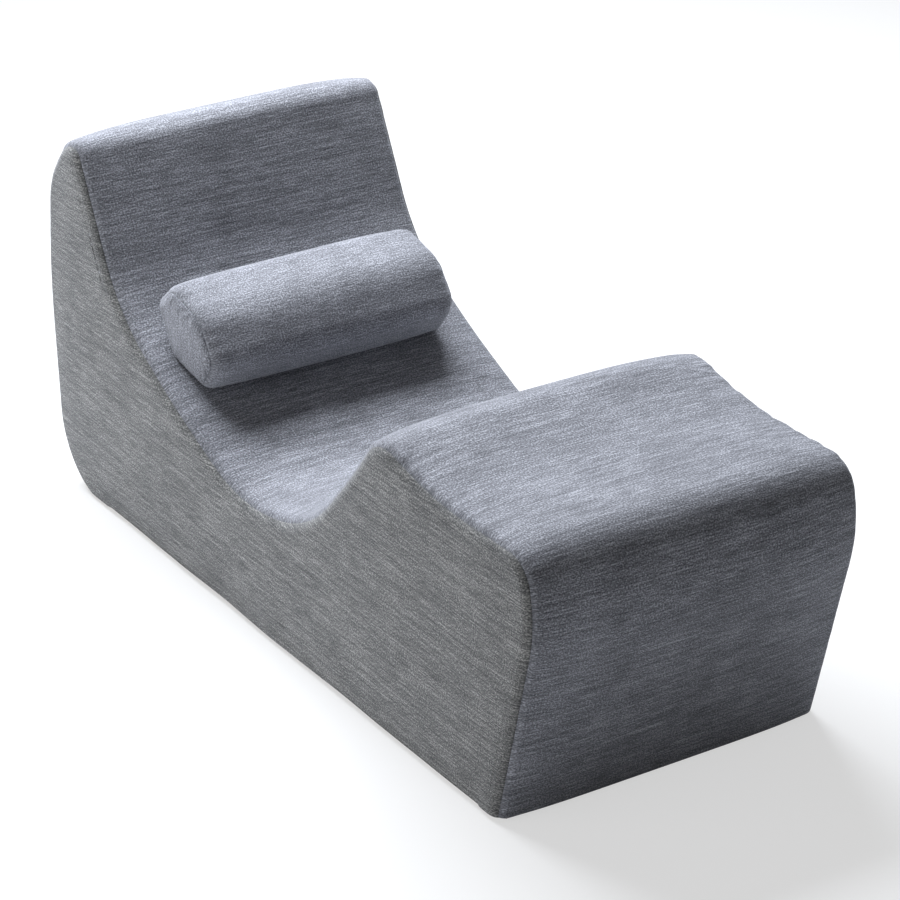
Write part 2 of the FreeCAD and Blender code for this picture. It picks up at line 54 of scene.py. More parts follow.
def makeCamera(setup):
    azimuth = math.radians(setup["azimuth"])
    elevation = math.radians(setup["elevation"])
    roll = math.radians(setup["roll"])
    back = Vector((math.sin(azimuth) * math.cos(elevation),
                   -math.cos(azimuth) * math.cos(elevation),
                   math.sin(elevation)))
    right = Vector((0, 0, 1)).cross(back).normalized()
    up = back.cross(right)
    tiltedRight = right * math.cos(roll) + up * math.sin(roll)
    tiltedUp = up * math.cos(roll) - right * math.sin(roll)
    data = bpy.data.cameras.new("photoCamera")
    data.lens = setup["lens"]
    data.sensor_width = 36
    data.clip_end = 60
    obj = bpy.data.objects.new("photoCamera", data)
    bpy.context.scene.collection.objects.link(obj)
    turn = Matrix((tiltedRight, tiltedUp, back)).transposed().to_4x4()
    obj.matrix_world = Matrix.Translation(Vector(setup["place"])) @ turn
    bpy.context.scene.camera = obj


makeCamera(cameraSetup)
bpy.context.scene.view_settings.view_transform = "Standard"
print("camera set")


# Number fields and meshes

def smoothStep(low, high, value):
    # 0 below low, 1 above high, and 3t^2 - 2t^3 between
    t = np.clip((value - low) / (high - low), 0, 1)
    return t * t * (3 - 2 * t)


def softNoise(u, v, seed):
    # Random numbers on a unit lattice, mixed with a smooth step between its points: from -1 to 1
    table = np.random.default_rng(seed).uniform(-1, 1, (128, 128))
    cu = np.floor(u).astype(int)
    cv = np.floor(v).astype(int)
    fu = u - cu
    fv = v - cv
    fu = fu * fu * (3 - 2 * fu)
    fv = fv * fv * (3 - 2 * fv)
    a = table[cu % 128, cv % 128]
    b = table[(cu + 1) % 128, cv % 128]
    c = table[cu % 128, (cv + 1) % 128]
    d = table[(cu + 1) % 128, (cv + 1) % 128]
    return (a * (1 - fu) + b * fu) * (1 - fv) + (c * (1 - fu) + d * fu) * fv


def gridFaces(rows, columns, closed=False):
    # Quads of a grid of points numbered row by row; closed joins the last row to the first
    number = np.arange(rows * columns).reshape(rows, columns)
    if closed:
        number = np.vstack([number, number[:1]])
    corners = [number[:-1, :-1], number[1:, :-1], number[1:, 1:], number[:-1, 1:]]
    return np.stack(corners, axis=2).reshape(-1, 4)


def makePiece(name, points, faces, uv, flip=False, fields=None):
    # One smooth mesh object at the origin, from arrays of points, quads and uv places
    points = points.reshape(-1, 3)
    if flip:
        faces = faces[:, ::-1]
    mesh = bpy.data.meshes.new(name)
    mesh.from_pydata(points.tolist(), [], faces.tolist())
    mesh.polygons.foreach_set("use_smooth", np.ones(len(mesh.polygons), bool))
    layer = mesh.uv_layers.new(name="clothUv")
    layer.data.foreach_set("uv", uv.reshape(-1, 2)[faces.ravel()].astype(np.float32).ravel())
    for field, values in (fields or {}).items():
        attribute = mesh.attributes.new(field, "FLOAT", "POINT")
        attribute.data.foreach_set("value", np.asarray(values, np.float32).ravel())
    mesh.update()
    obj = bpy.data.objects.new(name, mesh)
    bpy.context.scene.collection.objects.link(obj)
    return obj


def mergeDoubles(obj, distance=0.00002):
    work = bmesh.new()
    work.from_mesh(obj.data)
    bmesh.ops.remove_doubles(work, verts=work.verts, dist=distance)
    bmesh.ops.dissolve_degenerate(work, dist=distance, edges=work.edges)
    work.to_mesh(obj.data)
    work.free()


# Outlines: polygons whose edges can move inwards and whose corners are rounded

def movedInwards(corners, steps, heldStep=None):
    # Each edge moves inwards by its step. A corner moves by the vector whose products with the inward
    # normals of its two edges are the steps of those edges. The closing edge can have a step of its own.
    place = corners[:, :2]
    along = np.roll(place, -1, axis=0) - place
    along = along / np.linalg.norm(along, axis=1, keepdims=True)
    inward = np.stack([-along[:, 1], along[:, 0]], axis=1)
    before = np.roll(inward, 1, axis=0)
    solve = np.linalg.inv(np.stack([before, inward], axis=1))
    edgeSteps = np.repeat(np.asarray(steps, float)[:, None], len(corners), axis=1)
    if heldStep is not None:
        edgeSteps[:, -1] = heldStep
    pair = np.stack([np.roll(edgeSteps, 1, axis=1), edgeSteps], axis=2)
    moved = place + np.einsum("nij,mnj->mni", solve, pair)
    turn = np.sign(before[:, 0] * inward[:, 1] - before[:, 1] * inward[:, 0])
    radius = np.maximum(corners[:, 2] - turn * pair.mean(axis=2), 0.004)
    return moved, radius, turn


def roundedArcs(place, radius, turn):
    # At each corner the circle that touches both edges: its middle, radius, first angle and sweep
    before = np.roll(place, 1, axis=1) - place
    after = np.roll(place, -1, axis=1) - place
    lengthBefore = np.linalg.norm(before, axis=2)
    lengthAfter = np.linalg.norm(after, axis=2)
    before = before / lengthBefore[..., None]
    after = after / lengthAfter[..., None]
    half = np.arccos(np.clip((before * after).sum(axis=2), -1, 1)) / 2
    reach = np.minimum(radius / np.tan(half), 0.485 * np.minimum(lengthBefore, lengthAfter))
    radius = reach * np.tan(half)
    bisector = before + after
    bisector = bisector / np.linalg.norm(bisector, axis=2, keepdims=True)
    middle = place + bisector * (radius / np.sin(half))[..., None]
    start = place + before * reach[..., None]
    end = place + after * reach[..., None]
    first = np.arctan2(start[..., 1] - middle[..., 1], start[..., 0] - middle[..., 0])
    sweep = turn * (math.pi - 2 * half)
    return middle, radius, first, sweep, start, end


def stationsAt(corners, lengths):
    # Distances along the rounded outline, turned into corner numbers and shares. A share below 1 lies on
    # the corner's arc, and one above 1 on the straight run after it. Also where each arc and run ends.
    moved, radius, turn = movedInwards(corners, [0])
    _, radius, _, sweep, start, end = roundedArcs(moved, radius, turn)
    arcs = (radius * np.abs(sweep))[0]
    runs = np.linalg.norm(np.roll(start, -1, axis=1) - end, axis=2)[0]
    pieces = np.stack([arcs, runs], axis=1).ravel()
    ends = np.concatenate([[0], np.cumsum(pieces)])
    wrapped = np.mod(lengths, ends[-1])
    found = np.clip(np.searchsorted(ends, wrapped, side="right") - 1, 0, len(pieces) - 1)
    share = (wrapped - ends[found]) / pieces[found] + found % 2
    return found // 2, share, ends


def outlineAt(corners, steps, stations, heldStep=None):
    # Points (step, station, y and z) and outward normals (station, y and z) of the rounded outline
    corner, share = stations
    moved, radius, turn = movedInwards(corners, steps, heldStep)
    middle, radius, first, sweep, start, end = roundedArcs(moved, radius, turn)
    angle = first[:, corner] + np.minimum(share, 1) * sweep[:, corner]
    spoke = np.stack([np.cos(angle), np.sin(angle)], axis=2)
    onArc = middle[:, corner] + spoke * radius[:, corner, None]
    nextStart = start[:, (corner + 1) % len(corners)]
    onRun = end[:, corner] + (nextStart - end[:, corner]) * (share - 1)[None, :, None]
    points = np.where((share < 1)[None, :, None], onArc, onRun)
    return points, spoke[0] * turn[corner][:, None]


def centredCorners(table):
    # Corner rows with y moved so that the rounded outline's length is centred on the origin
    corners = np.array(list(table.values()), float)
    girth = stationsAt(corners, np.zeros(1))[2][-1]
    stations = stationsAt(corners, np.linspace(0, girth, 6000))[:2]
    points, _ = outlineAt(corners, [0], stations)
    shift = -(points[0, :, 0].min() + points[0, :, 0].max()) / 2
    corners[:, 0] += shift
    return corners, shift


# The chaise's sewn cover

cover = {
    # corner: y, z and rounding of the side outline, up the rear and forwards over the deck
    "corners": {
        "rearFoot": (1.560, 0.000, 0.160),
        "rearBulge": (1.587, 0.400, 1.200),
        "rearShoulder": (1.569, 0.607, 0.175),
        "headRear": (1.496, 0.698, 0.080),
        "headFront": (1.430, 0.708, 0.043),
        "lumbar": (1.292, 0.434, 0.297),
        "seatRear": (1.118, 0.335, 1.500),
        "seatLow": (0.890, 0.239, 0.305),
        "calf": (0.677, 0.276, 0.302),
        "thigh": (0.533, 0.438, 1.350),
        "kneePeak": (0.452, 0.547, 0.090),
        "legTop": (0.269, 0.505, 0.670),
        "toeTop": (0.005, 0.510, 0.075),
        "toeBulge": (-0.021, 0.380, 0.255),
        "toeFoot": (0.072, 0.000, 0.016),
    },
    "bottomRise": 0.0058,     # fabric above the floor, on the glides
    "halfWidth": 0.320,
    "seam": 0.312,            # seam plane, each side
    "edgeRounding": 0.024,
    "crown": 0.014,
    "crownPower": 5,
    # extra fullness of the strip in its middle, by corner
    "fullness": (0.002, 0.003, 0.001, 0.0004, 0.0004, 0.004, 0.002, 0.001,
                 0.002, 0.005, 0.004, 0.004, 0.001, 0.004, 0.001),
    # how strongly the seam gathers the strip, by corner, in metres
    "gathers": (0.0002, 0.0003, 0.0004, 0.0008, 0.0011, 0.0004, 0.0003, 0.0007,
                0.0006, 0.0006, 0.0026, 0.0017, 0.0013, 0.0005, 0.0003),
    "gatherPitch": 0.012,
    "gatherStart": 0.005,     # distance from the seam where the gathers begin
    "gatherReach": 0.034,
    "sideGatherReach": 0.016,
    "creases": (0.0007, 0.0011),
    "creaseReach": 0.17,
    "slow": 0.0009,           # height of the slow unevenness
    "sideSlow": (0.0010, 0.0005),
    "tucks": 0.0007,          # small folds above a side panel's lower edge
    "ridge": 0.0006,          # low ridge beside the seam
    "groove": 0.0016,         # how deep the seam pulls the fabric in
    "grooveReach": 0.0045,
    "hem": 0.026,             # fabric turned under the board
    "underTurn": 0.006,
    "underFrom": 0.27,        # the fold under the board begins at this x
    "rows": 960,
    "bunching": 0.86,         # how much the columns crowd towards the seams
    "sideRows": 560,
    "sideRings": 44,
    # share of the lower edge's length, from rear to front, that each corner is joined to
    "footShares": (0, 0.035, 0.065, 0.10, 0.16, 0.26, 0.36, 0.50, 0.62, 0.72, 0.78, 0.87, 0.95, 0.98, 1.0),
    "pillow": 0.0028,         # fullness of a side panel
}

chaiseCorners, yShift = centredCorners(cover["corners"])
chaiseEnds = stationsAt(chaiseCorners, np.zeros(1))[2]
stripLength = chaiseEnds[-2]
cornerPlaces = (chaiseEnds[0:-1:2] + chaiseEnds[1::2]) / 2
placeOf = dict(zip(cover["corners"], cornerPlaces))


def byCorner(values, lengths):
    # Values given at the corners, with a smooth step between one corner and the next
    places = np.concatenate([[-1], cornerPlaces, [stripLength + 1]])
    values = np.concatenate([values[:1], values, values[-1:]])
    found = np.clip(np.searchsorted(places, lengths, side="right") - 1, 0, len(places) - 2)
    t = (lengths - places[found]) / (places[found + 1] - places[found])
    t = t * t * (3 - 2 * t)
    return values[found] * (1 - t) + values[found + 1] * t


def crownStep(x, rounding):
    # How far inside the outline the strip lies: crown times (x / half width) to a power, plus what the
    # rounded edge adds
    return cover["crown"] * (np.abs(x) / cover["halfWidth"]) ** cover["crownPower"] + rounding


def seamSteps(angles):
    # x and inward step round the edge between strip and side panel, for angles from the top
    straight = cover["halfWidth"] - cover["edgeRounding"]
    x = straight + cover["edgeRounding"] * np.sin(angles)
    return x, crownStep(x, cover["edgeRounding"] * (1 - np.cos(angles)))


seamOut = cover["seam"] - cover["halfWidth"] + cover["edgeRounding"]
seamAngle = math.asin(seamOut / cover["edgeRounding"])


def stripColumns():
    # x, step and distance from the seam of each column of the strip, closer together towards the seams.
    # The last two columns are the tucked seam allowance.
    straight = cover["halfWidth"] - cover["edgeRounding"]
    bunching = cover["bunching"]
    middle = np.linspace(-1, 1, 71)
    middle = straight * np.sin(middle * math.pi / 2 * bunching) / math.sin(math.pi / 2 * bunching)
    middle = middle[middle >= 0]
    edgeX, edgeStep = seamSteps(np.linspace(0, seamAngle, 10)[1:])
    x = np.concatenate([middle, edgeX])
    step = np.concatenate([crownStep(middle, 0), edgeStep])
    fromSeam = np.concatenate([[0], np.cumsum(np.hypot(np.diff(x[::-1]), np.diff(step[::-1])))])[::-1]
    pull = cover["groove"] * np.exp(-(fromSeam / cover["grooveReach"]) ** 2)
    step = step + pull
    x = x - 0.5 * pull
    x = np.concatenate([x, [x[-1] - 0.0004, x[-1] - 0.0016]])
    step = np.concatenate([step, [step[-1] + 0.0030, step[-1] + 0.0075]])
    fromSeam = np.concatenate([fromSeam, [0, 0]])
    return (np.concatenate([-x[:0:-1], x]), np.concatenate([step[:0:-1], step]),
            np.concatenate([fromSeam[:0:-1], fromSeam]))


def creases(lengths, x):
    # Long shallow pulls across the strip: lattice noise stretched along x, strongest on the seat,
    # where its height falls off with exp(-(distance / reach)^2)
    seat = np.exp(-((lengths - placeOf["seatLow"] + 0.10) / cover["creaseReach"]) ** 2)
    across = softNoise(lengths / 0.022 + x * 1.5, x / 0.30 + 7, 3)
    fan = softNoise(lengths / 0.050 - x * 2.4, x / 0.22 + 31, 4)
    return seat * (cover["creases"][0] * across + cover["creases"][1] * fan)


def stripRise(lengths, x, fromSeam):
    # What the strip rises over its outline: fullness times (1 - (x / seam)^2)^0.9, creases, slow
    # unevenness, gathers that fade away from the seam, and a ridge beside it
    inside = np.clip(1 - (x / cover["seam"]) ** 2, 0, 1)
    rise = byCorner(np.array(cover["fullness"]), lengths) * inside ** 0.9
    rise = rise + creases(lengths, x) * np.clip(fromSeam / 0.03, 0, 1)
    slow = cover["slow"] * softNoise(lengths / 0.11, x / 0.13 + 3, 5)
    rise = rise + slow * np.clip(fromSeam / 0.05, 0, 1)
    side = np.where(x > 0, 40.0, 0.0)
    fine = softNoise(lengths / cover["gatherPitch"] + 3 * fromSeam / 0.1, fromSeam / 0.05 + side, 11)
    broad = softNoise(lengths / (2.3 * cover["gatherPitch"]), fromSeam / 0.09 + side, 12)
    fade = np.exp(-fromSeam / cover["gatherReach"]) * (1 - np.exp(-(fromSeam / cover["gatherStart"]) ** 2))
    rise = rise + byCorner(np.array(cover["gathers"]), lengths) * (fine + 0.7 * broad) * fade
    ridge = cover["ridge"] * np.exp(-((fromSeam - 0.009) / 0.005) ** 2)
    return rise + ridge


def underFold(points):
    # The lowest few millimetres by the side edges turn inwards on a quarter circle, under the board
    turn = cover["underTurn"]
    low = cover["bottomRise"]
    angle = np.clip((low + turn - points[..., 2]) / turn, 0, 1) * math.pi / 2
    edge = smoothStep(cover["underFrom"], cover["seam"] - 0.002, np.abs(points[..., 0]))
    folded = points.copy()
    folded[..., 0] -= np.sign(points[..., 0]) * turn * (1 - np.cos(angle)) * edge
    lowered = low + turn * (1 - np.sin(angle))
    folded[..., 2] = np.where(angle > 0, points[..., 2] * (1 - edge) + lowered * edge, points[..., 2])
    return folded


def makeStrip():
    # The long panel: for every place along the outline and every x, the outline moved inwards by that
    # column's step and outwards along its normal by the rise
    lengths = np.linspace(-cover["hem"], stripLength + cover["hem"], cover["rows"])
    corner, share, _ = stationsAt(chaiseCorners, lengths)
    x, step, fromSeam = stripColumns()
    points, normals = outlineAt(chaiseCorners, step, (corner, share), cover["bottomRise"])
    points = points.transpose(1, 0, 2)
    s, across = np.meshgrid(lengths, x, indexing="ij")
    reach = np.repeat(fromSeam[None, :], len(lengths), axis=0)
    free = smoothStep(0.004, 0.05, s) * smoothStep(0.004, 0.05, stripLength - s)
    rise = stripRise(s, across, reach) * free
    points = points + normals[:, None, :] * rise[..., None]
    surface = underFold(np.concatenate([across[..., None], points], axis=2))
    uv = np.stack([across, s], axis=2)
    # Mask for painted shade along the seams: 1 at a seam, falling off over about a centimetre
    seamShade = np.exp(-reach / 0.012)
    return makePiece("coverTopPanel", surface, gridFaces(*s.shape), uv, fields={"seamNear": seamShade})


def makeSide(side):
    # One side panel: rings that follow the seam inwards, then straight rulings from the last ring down to
    # the bottom edge. x grows from the seam to the panel's face, with a low pillow in its middle.
    lengths = np.linspace(0, stripLength, cover["sideRows"])
    corner, share, _ = stationsAt(chaiseCorners, lengths)
    ringX, ringStep = seamSteps(np.linspace(seamAngle, math.pi / 2, 9))
    fromSeam = np.concatenate([[0], np.cumsum(np.hypot(np.diff(ringX), np.diff(ringStep)))])
    ringX = np.concatenate([ringX, [cover["halfWidth"] + 0.0002]])
    ringStep = np.concatenate([ringStep, [ringStep[-1] + 0.006]])
    fromSeam = np.concatenate([fromSeam, [fromSeam[-1] + 0.006]])
    pull = cover["groove"] * np.exp(-(fromSeam / cover["grooveReach"]) ** 2)
    ringX = ringX - 0.8 * pull
    ringStep = ringStep + 0.6 * pull
    ringX = np.concatenate([[ringX[0] - 0.0010, ringX[0] - 0.0003], ringX])
    ringStep = np.concatenate([[ringStep[0] + 0.0075, ringStep[0] + 0.0030], ringStep])
    fromSeam = np.concatenate([[0, 0], fromSeam])
    rings, normals = outlineAt(chaiseCorners, ringStep, (corner, share), cover["bottomRise"])
    rings = rings.transpose(1, 0, 2)
    x = np.repeat(ringX[None, :], len(lengths), axis=0)
    reach = np.repeat(fromSeam[None, :], len(lengths), axis=0)

    lastRing = rings[:, -1]
    places = np.concatenate([[0], cornerPlaces[1:-1], [stripLength]])
    bottomShare = np.interp(lengths, places, cover["footShares"])
    bottomY = lastRing[0, 0] + (lastRing[-1, 0] - lastRing[0, 0]) * bottomShare
    bottom = np.stack([bottomY, np.full(len(lengths), cover["bottomRise"])], axis=1)
    down = np.linspace(0, 1, cover["sideRings"])[1:]
    ruled = lastRing[:, None] + (bottom - lastRing)[:, None] * down[None, :, None]
    nearest = np.full(ruled.shape[:2], 10.0)
    for column in range(ruled.shape[1]):
        gaps = ruled[:, column, None, :] - lastRing[None, ::3]
        nearest[:, column] = np.sqrt((gaps ** 2).sum(axis=2)).min(axis=1)
    flat = np.concatenate([rings, ruled], axis=1)
    reach = np.concatenate([reach, fromSeam[-1] + nearest], axis=1)
    y = flat[..., 0]
    z = flat[..., 1]
    pillow = cover["pillow"] * (1 - np.exp(-nearest / 0.05)) * smoothStep(0.0, 0.09, ruled[..., 1])
    x = np.concatenate([x, ringX[-1] + pillow], axis=1)

    s = np.repeat(lengths[:, None], x.shape[1], axis=1)
    seed = 20 if side > 0 else 60
    gather = byCorner(np.array(cover["gathers"]), s)
    fine = softNoise(s / cover["gatherPitch"], reach / 0.04, seed)
    fade = np.exp(-reach / cover["sideGatherReach"]) * (1 - np.exp(-(reach / cover["gatherStart"]) ** 2))
    inner = np.clip((reach - 0.01) / 0.05, 0, 1)
    slow = cover["sideSlow"][0] * softNoise(y / 0.17, z / 0.13 + 9, seed + 1)
    slow = slow + cover["sideSlow"][1] * softNoise(y / 0.07, z / 0.05, seed + 2)
    foot = np.exp(-z / 0.035) * smoothStep(0.006, 0.02, z)
    tucks = cover["tucks"] * softNoise(y / 0.028, z / 0.4, seed + 3) * foot
    x = x + 0.6 * gather * fine * fade + slow * inner + tucks
    points = underFold(np.stack([side * x, y, z], axis=2))

    # The hem: the panel's lower edge repeated twice, further under the board each time
    hemIn = np.array([0.010, 0.020])
    rim = np.concatenate([points[0], points[1:-1, -1], points[-1, ::-1]])
    hem = np.repeat(rim[:, None, :], 3, axis=1)
    hem[:, 1:, 0] -= side * hemIn[None, :]
    count = points.shape[0] * points.shape[1]
    hemFaces = gridFaces(len(rim), 3)[:, ::-1] + count
    faces = np.concatenate([gridFaces(*points.shape[:2]), hemFaces])
    allPoints = np.concatenate([points.reshape(-1, 3), hem.reshape(-1, 3)])
    uv = allPoints[:, 1:3].copy()
    uv[count:, 1] -= np.abs(np.abs(allPoints[count:, 0]) - cover["seam"])
    # Mask for painted shade along the seams; the hem gets none
    seamShade = np.concatenate([np.exp(-reach.ravel() / 0.012), np.zeros(len(rim) * 3)])
    name = "coverSideRight" if side > 0 else "coverSideLeft"
    obj = makePiece(name, allPoints, faces, uv, flip=side < 0, fields={"seamNear": seamShade})
    mergeDoubles(obj)
    return obj


strip = makeStrip()
sideLeft = makeSide(-1)
sideRight = makeSide(1)
print("cover sewn:", len(strip.data.polygons), len(sideLeft.data.polygons))


# The bolster: a stuffed sleeve with a sewn panel at each end

bolster = {
    # corner: y, z and rounding of its section
    "corners": {
        "heel": (1.199, 0.350, 0.020),
        "back": (1.263, 0.454, 0.022),
        "top": (1.199, 0.508, 0.044),
        "brow": (1.090, 0.484, 0.090),
        "nose": (1.034, 0.402, 0.044),
        "toe": (1.084, 0.334, 0.034),
    },
    "offset": -0.0155,        # middle of its length from the middle of the chaise
    "halfLength": 0.255,
    "drawIn": 0.005,
    "drawPower": 5,
    "edgeRounding": 0.028,
    "seamIn": 0.006,          # seam behind the end
    "endBulge": 0.004,
    "groove": 0.0015,
    "grooveReach": 0.004,
    "full": 0.0012,           # fullness in the middle of its length
    "fullHalf": 0.25,
    "slow": (0.0011, 0.0006),
    "gathers": 0.0020,
    "gatherPitch": 0.012,
    "gatherReach": 0.030,
    "endGatherReach": 0.020,
    "rest": 0.0006,           # gap over the chaise's cover
    "restReach": 0.03,        # what lies higher than this over the cover isn't moved
    "rows": 260,
    "zipHalf": 0.180,
    "slotHalf": 0.00465,
    "lipReach": 0.0055,       # the slot's lip is level up to this distance
    "zipFold": 0.0016,
}

bolsterCorners = np.array(list(bolster["corners"].values()), float)
bolsterCorners[:, 0] += yShift
bolsterEnds = stationsAt(bolsterCorners, np.zeros(1))[2]
bolsterGirth = bolsterEnds[-1]


def bolsterStep(x, rounding):
    # Draws in with (x / half length) to a power, and rounds over at the end
    return bolster["drawIn"] * (np.abs(x) / bolster["halfLength"]) ** bolster["drawPower"] + rounding


def bolsterColumns():
    # x from the middle, inward step and distance from the seam, of half the sleeve and of the end's rim.
    # The columns of the sleeve crowd at the zip's end. Both pieces have a tucked seam allowance.
    half = bolster["halfLength"]
    edge = bolster["edgeRounding"]
    seamTurn = math.asin((half - bolster["seamIn"] - (half - edge)) / edge)
    body = np.concatenate([np.linspace(0, 0.16, 21), [0.168, 0.1755, bolster["zipHalf"], 0.185, 0.19],
                           np.linspace(0.195, half - edge, 8)])
    turns = np.linspace(0, seamTurn, 7)[1:]
    edgeX = half - edge + edge * np.sin(turns)
    x = np.concatenate([body, edgeX])
    step = np.concatenate([bolsterStep(body, 0), bolsterStep(edgeX, edge * (1 - np.cos(turns)))])
    away = np.concatenate([[0], np.cumsum(np.hypot(np.diff(x[::-1]), np.diff(step[::-1])))])[::-1]
    pull = bolster["groove"] * np.exp(-(away / bolster["grooveReach"]) ** 2)
    wrap = (np.concatenate([x - 0.4 * pull, [x[-1] - 0.0016, x[-1] - 0.004]]),
            np.concatenate([step + pull, [step[-1] + pull[-1] + 0.003, step[-1] + pull[-1] + 0.006]]),
            np.concatenate([away, [0, 0]]))
    turns = np.linspace(seamTurn, math.pi / 2, 8)
    endX = half - edge + edge * np.sin(turns)
    endStep = bolsterStep(endX, edge * (1 - np.cos(turns)))
    endAway = np.concatenate([[0], np.cumsum(np.hypot(np.diff(endX), np.diff(endStep)))])
    pull = bolster["groove"] * np.exp(-(endAway / bolster["grooveReach"]) ** 2)
    end = (np.concatenate([[endX[0] - 0.003, endX[0] - 0.0012], endX - 0.7 * pull]),
           np.concatenate([[endStep[0] + 0.006, endStep[0] + 0.003], endStep + 0.6 * pull]),
           np.concatenate([[0, 0], endAway]))
    return wrap, end


def bolsterRows():
    # Places round the section, with extra ones where the zip's slot opens the sleeve, in the middle of
    # the straight run from the corner back to the corner top
    zipMiddle = (bolsterEnds[3] + bolsterEnds[4]) / 2
    plain = np.linspace(0, bolsterGirth, bolster["rows"], endpoint=False)
    lip = bolster["slotHalf"] + np.array([0, 0.0007, 0.0018, 0.0034, bolster["lipReach"]])
    plain = plain[np.abs(plain - zipMiddle) > lip[-1] + 0.001]
    return np.sort(np.concatenate([plain, zipMiddle - lip, zipMiddle + lip])), zipMiddle


deckLengths = np.linspace(placeOf["headFront"], placeOf["thigh"], 700)
deckCorner, deckShare, _ = stationsAt(chaiseCorners, deckLengths)
deckPoints, deckNormals = outlineAt(chaiseCorners, [0], (deckCorner, deckShare), cover["bottomRise"])
deckPoints = deckPoints[0]


def heldOffDeck(points, gap):
    # A point nearer to the deck's cover than the gap moves out along the deck's normal, with a soft onset
    flat = points.reshape(-1, 3)
    nearest = np.empty(len(flat), int)
    for part in np.array_split(np.arange(len(flat)), 24):
        gaps = flat[part, None, 1:] - deckPoints[None]
        nearest[part] = (gaps ** 2).sum(axis=2).argmin(axis=1)
    normal = deckNormals[nearest]
    x = np.clip(flat[:, 0], -cover["seam"], cover["seam"])
    fromSeam = cover["seam"] - np.abs(x)
    surface = stripRise(deckLengths[nearest], x, fromSeam) - crownStep(x, 0)
    height = ((flat[:, 1:] - deckPoints[nearest]) * normal).sum(axis=1) - surface
    soft = 0.0015
    wanted = gap + soft * np.logaddexp(0, (height - gap) / soft)
    moved = flat.copy()
    moved[:, 1:] += normal * np.where(height < bolster["restReach"], wanted - height, 0)[:, None]
    return moved.reshape(points.shape)


def bolsterSurface(x, steps, rows):
    # Points (row, column, xyz) and outward normals of the section moved inwards by each column's step
    corner, share, _ = stationsAt(bolsterCorners, rows)
    points, normals = outlineAt(bolsterCorners, steps, (corner, share))
    points = points.transpose(1, 0, 2)
    across = np.repeat(x[None, :], len(rows), axis=0)
    return np.concatenate([across[..., None], points], axis=2), normals


